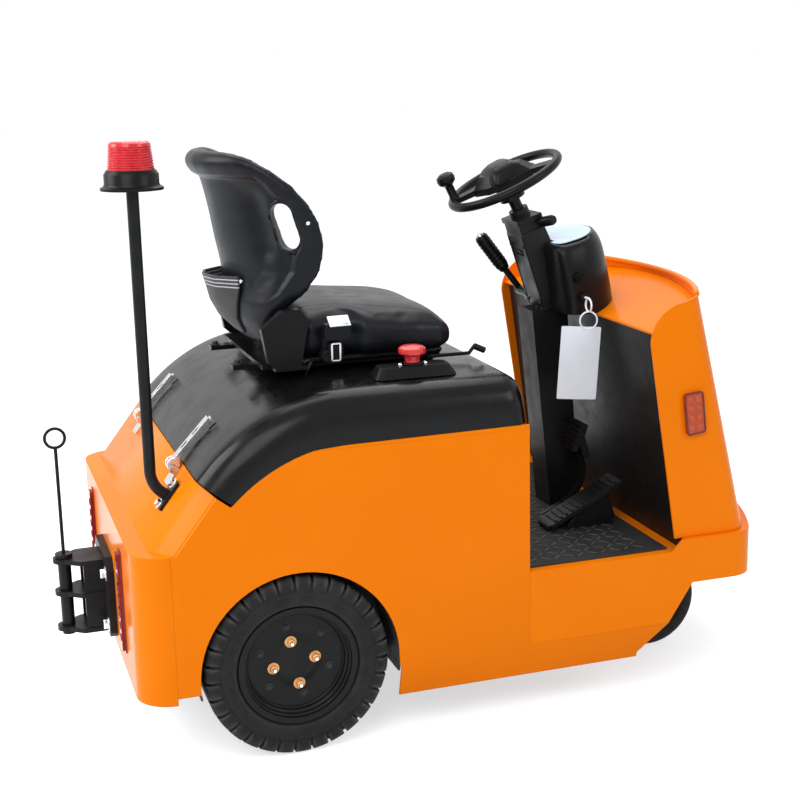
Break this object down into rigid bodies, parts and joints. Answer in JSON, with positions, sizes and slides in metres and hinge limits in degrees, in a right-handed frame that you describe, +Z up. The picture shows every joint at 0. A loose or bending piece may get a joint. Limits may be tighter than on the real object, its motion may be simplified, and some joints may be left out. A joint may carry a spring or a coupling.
{
  "type": "electric tow tractor",
  "caption": "Compact seated electric tow tractor with a hinged battery hood carrying the seat, a curved front cowl, steered front bogie and a pin coupling at the rear.",
  "frame": {"origin": "middle of the bounding box on the ground", "axes": "+X forward, +Y to the driver's left, +Z up"},
  "size_m": [1.5873, 0.878, 1.241],
  "materials": {
    "paint": "gloss",
    "dark_steel": "satin",
    "black_steel": "satin",
    "black_plastic": "satin",
    "red_lens": "gloss",
    "amber_lens": "gloss",
    "clear_lens": "gloss",
    "zinc": "plated",
    "display": "gloss",
    "card": "matte",
    "vinyl": "satin",
    "webbing": "matte",
    "red_plastic": "gloss",
    "tyre": "matte"
  },
  "bodies": {
    "body": {"rear_panel": "paint", "side_panels": "paint", "arch_liners": "dark_steel", "bulkhead": "paint", "front_frame": "paint", "tread_plate": "dark_steel", "front_cowl": "paint", "deck": "paint", "leg_shield": "black_steel", "chassis": "dark_steel", "battery": "black_plastic", "rear_axle": "dark_steel", "tow_coupling": "black_steel", "tail_lamps": "red_lens", "side_lamps": "amber_lens", "beacon_post": "black_steel", "beacon_base": "black_plastic", "beacon_lens": "red_lens", "latch_bases": "zinc", "hinge_pins": "zinc", "steering_column": "black_steel", "dash_pod": "black_plastic", "dash_panel": "display", "direction_switch": "black_plastic", "head_lamps": "clear_lens", "key_switch": "zinc", "key_tag": "card", "brake_lever": "black_plastic", "brake_pedal": "black_steel", "drive_pedal": "black_steel"},
    "rear_wheel_left": {"rear_tyre_left": "tyre", "rear_rim_left": "black_steel"},
    "rear_wheel_right": {"rear_tyre_right": "tyre", "rear_rim_right": "black_steel"},
    "bogie": {"steer_bogie": "dark_steel"},
    "front_wheel_left": {"front_tyre_left": "tyre", "front_hub_left": "black_steel"},
    "front_wheel_right": {"front_tyre_right": "tyre", "front_hub_right": "black_steel"},
    "steering": {"steering_wheel": "black_plastic"},
    "hood": {"hood": "black_plastic", "hood_hinges": "zinc", "seat_base": "black_plastic", "seat_cushion": "vinyl", "seat_back": "vinyl", "back_pad": "vinyl", "back_pocket": "webbing", "belt_buckle": "black_plastic", "stop_pad": "black_plastic", "stop_button": "red_plastic", "latch_levers": "zinc"},
    "pin": {"tow_pin": "black_steel"}
  },
  "joints": [
    {"name": "rear_left_spin", "type": "hinge", "parent": "body", "child": "rear_wheel_left", "pos_m": [-0.3565, 0.378, 0.1915], "axis": [0, 1, 0], "continuous": true},
    {"name": "rear_right_spin", "type": "hinge", "parent": "body", "child": "rear_wheel_right", "pos_m": [-0.3565, -0.378, 0.1915], "axis": [0, 1, 0], "continuous": true},
    {"name": "steer", "type": "hinge", "parent": "body", "child": "bogie", "pos_m": [0.5685, 0, 0.115], "axis": [0, 0, 1], "range_deg": [-50, 50]},
    {"name": "front_left_spin", "type": "hinge", "parent": "bogie", "child": "front_wheel_left", "pos_m": [0.5685, 0.142, 0.115], "axis": [0, 1, 0], "continuous": true},
    {"name": "front_right_spin", "type": "hinge", "parent": "bogie", "child": "front_wheel_right", "pos_m": [0.5685, -0.142, 0.115], "axis": [0, 1, 0], "continuous": true},
    {"name": "steering_turn", "type": "hinge", "parent": "body", "child": "steering", "pos_m": [0.2701, 0, 1.1116], "axis": [-0.4321, 0, 0.9018], "range_deg": [-500, 500]},
    {"name": "hood_open", "type": "hinge", "parent": "body", "child": "hood", "pos_m": [0.1535, 0, 0.646], "axis": [0, 1, 0], "range_deg": [0, 45]},
    {"name": "pin_lift", "type": "slide", "parent": "body", "child": "pin", "axis": [0, 0, 1], "range_m": [0, 0.2]}
  ],
  "couplings": [
    {"joint": "steering_turn", "follows": "steer", "ratio": 10}
  ]
}
